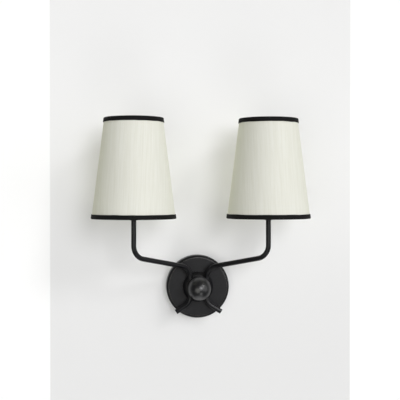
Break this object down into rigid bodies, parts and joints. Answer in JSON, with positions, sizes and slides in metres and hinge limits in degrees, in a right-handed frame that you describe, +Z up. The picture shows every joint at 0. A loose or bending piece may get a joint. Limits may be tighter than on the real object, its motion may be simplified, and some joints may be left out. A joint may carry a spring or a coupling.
{
  "type": "double arm wall sconce",
  "caption": "Wall light with a round plate, bent tube arms gripped in a hub behind a ball finial, and a tapered fabric shade with dark trims on each arm.",
  "frame": {"origin": "centre of the wall plate's back, on the wall, midway between the bracket's screw slots", "axes": "+X to the right along the wall, +Z up, +Y into the wall; the lamp stands out towards -Y"},
  "size_m": [0.347, 0.1595, 0.325],
  "materials": {
    "blackened_metal": "satin black powder coat over steel, slightly worn on edges",
    "zinc_steel": "zinc plated",
    "brass": "plain",
    "nickel_cap": "bright",
    "terminal_plastic": "plain moulded",
    "holder_plastic": "moulded, fine texture",
    "fibre": "pressed fibre",
    "flex_sleeve": "silicone sleeve",
    "opal_glass": "opal white",
    "cream_fabric": "fine slub weave, bonded",
    "liner_plastic": "smooth white lining",
    "black_trim": "black grosgrain ribbon",
    "white_wire": "white coated wire"
  },
  "bodies": {
    "lamp_frame": {"wall_bracket": "zinc_steel", "earth_washer": "zinc_steel", "earth_screw": "brass", "terminal_block": "terminal_plastic", "terminal_screws": "zinc_steel", "block_screw": "zinc_steel", "threaded_rod": "zinc_steel", "rod_nuts": "zinc_steel", "backplate": "blackened_metal", "wire_bushes": "holder_plastic", "boss": "blackened_metal", "locating_pins": "zinc_steel", "hub_back": "blackened_metal", "hub_front": "blackened_metal", "hub_screws": "zinc_steel", "left_arm": "blackened_metal", "left_tail_plug": "blackened_metal", "left_flex": "flex_sleeve", "left_cup": "blackened_metal", "left_holder_base": "holder_plastic", "left_holder_body": "holder_plastic", "left_screw_shell": "brass", "left_centre_contact": "brass", "left_lower_ring": "holder_plastic", "right_arm": "blackened_metal", "right_tail_plug": "blackened_metal", "right_flex": "flex_sleeve", "right_cup": "blackened_metal", "right_holder_base": "holder_plastic", "right_holder_body": "holder_plastic", "right_screw_shell": "brass", "right_centre_contact": "brass", "right_lower_ring": "holder_plastic"},
    "finial_washer_body": {"finial_washer": "fibre"},
    "finial": {"finial_ball": "blackened_metal"},
    "left_shade": {"left_shade_fabric": "cream_fabric", "left_shade_liner": "liner_plastic", "left_bottom_trim": "black_trim", "left_top_trim": "black_trim", "left_bottom_wire": "white_wire", "left_top_wire": "white_wire", "left_fitter": "white_wire"},
    "left_washer": {"left_ring_washer": "fibre"},
    "left_ring": {"left_upper_ring": "holder_plastic"},
    "left_button": {"left_bulb_button": "brass"},
    "left_bulb": {"left_bulb_cap": "nickel_cap", "left_bulb_glass": "opal_glass"},
    "right_shade": {"right_shade_fabric": "cream_fabric", "right_shade_liner": "liner_plastic", "right_bottom_trim": "black_trim", "right_top_trim": "black_trim", "right_bottom_wire": "white_wire", "right_top_wire": "white_wire", "right_fitter": "white_wire"},
    "right_washer": {"right_ring_washer": "fibre"},
    "right_ring": {"right_upper_ring": "holder_plastic"},
    "right_button": {"right_bulb_button": "brass"},
    "right_bulb": {"right_bulb_cap": "nickel_cap", "right_bulb_glass": "opal_glass"}
  },
  "joints": [
    {"name": "finial_slide", "type": "slide", "parent": "lamp_frame", "child": "finial_washer_body", "axis": [0, -1, 0], "range_m": [0, 0.01101]},
    {"name": "finial_turn", "type": "hinge", "parent": "finial_washer_body", "child": "finial", "pos_m": [0, -0.054, 0], "axis": [0, -1, 0], "range_deg": [0, 3960]},
    {"name": "left_shade_turn", "type": "hinge", "parent": "lamp_frame", "child": "left_shade", "pos_m": [-0.1065, -0.0925, 0.1377], "axis": [0, 0, 1], "continuous": true},
    {"name": "left_ring_lift", "type": "slide", "parent": "lamp_frame", "child": "left_washer", "axis": [0, 0, 1], "range_m": [0, 0.01501]},
    {"name": "left_ring_turn", "type": "hinge", "parent": "left_washer", "child": "left_ring", "pos_m": [-0.1065, -0.0925, 0.141], "axis": [0, 0, 1], "range_deg": [0, 2160]},
    {"name": "left_bulb_lift", "type": "slide", "parent": "lamp_frame", "child": "left_button", "axis": [0, 0, 1], "range_m": [0, 0.01693]},
    {"name": "left_bulb_turn", "type": "hinge", "parent": "left_button", "child": "left_bulb", "pos_m": [-0.1065, -0.0925, 0.15], "axis": [0, 0, 1], "range_deg": [0, 2160]},
    {"name": "right_shade_turn", "type": "hinge", "parent": "lamp_frame", "child": "right_shade", "pos_m": [0.1065, -0.0925, 0.1377], "axis": [0, 0, 1], "continuous": true},
    {"name": "right_ring_lift", "type": "slide", "parent": "lamp_frame", "child": "right_washer", "axis": [0, 0, 1], "range_m": [0, 0.01501]},
    {"name": "right_ring_turn", "type": "hinge", "parent": "right_washer", "child": "right_ring", "pos_m": [0.1065, -0.0925, 0.141], "axis": [0, 0, 1], "range_deg": [0, 2160]},
    {"name": "right_bulb_lift", "type": "slide", "parent": "lamp_frame", "child": "right_button", "axis": [0, 0, 1], "range_m": [0, 0.01693]},
    {"name": "right_bulb_turn", "type": "hinge", "parent": "right_button", "child": "right_bulb", "pos_m": [0.1065, -0.0925, 0.15], "axis": [0, 0, 1], "range_deg": [0, 2160]}
  ],
  "couplings": [
    {"joint": "finial_slide", "follows": "finial_turn", "m_per_rad": 0.00015915},
    {"joint": "left_ring_lift", "follows": "left_ring_turn", "m_per_rad": 0.00039789},
    {"joint": "left_bulb_lift", "follows": "left_bulb_turn", "m_per_rad": 0.00044882},
    {"joint": "right_ring_lift", "follows": "right_ring_turn", "m_per_rad": 0.00039789},
    {"joint": "right_bulb_lift", "follows": "right_bulb_turn", "m_per_rad": 0.00044882}
  ]
}
